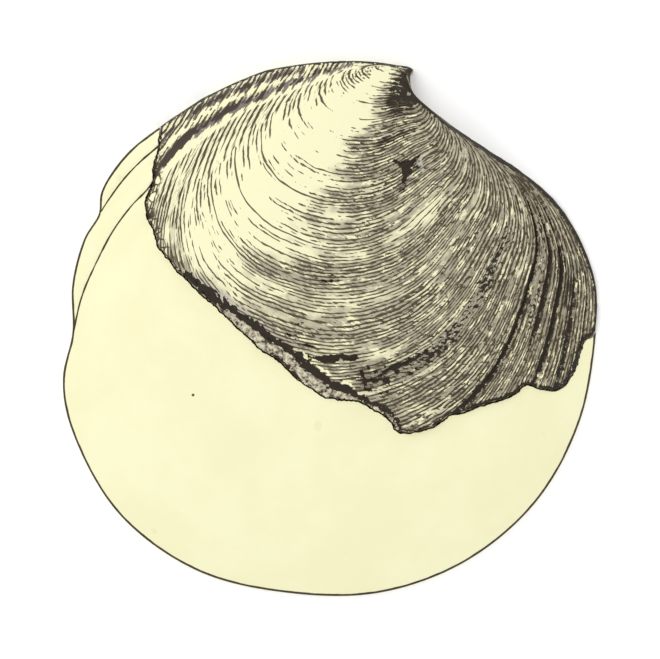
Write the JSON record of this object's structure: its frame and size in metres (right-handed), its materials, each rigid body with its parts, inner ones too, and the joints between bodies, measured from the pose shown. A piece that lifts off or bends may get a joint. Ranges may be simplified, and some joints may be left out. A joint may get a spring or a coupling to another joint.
{
  "type": "fossil clam",
  "caption": "Large fossil clam valve with fine growth lines, rear folds and a broken lower edge, completed by a plain restored part; it lies on its flat rim.",
  "frame": {"origin": "centre of the valve's outline, on the plane of its rim", "axes": "+X from the rear margin to the front margin, +Y from the lower margin to the hinge, +Z out of the valve's outer face"},
  "size_m": [0.0849, 0.085, 0.0184],
  "materials": {
    "fossil_shell": "weathered shell, cream worn spots with dark brown growth lines",
    "restored_part": "matt cream plaster"
  },
  "bodies": {
    "root": {"fossil_shell": "fossil_shell", "restored_part": "restored_part"}
  },
  "joints": []
}
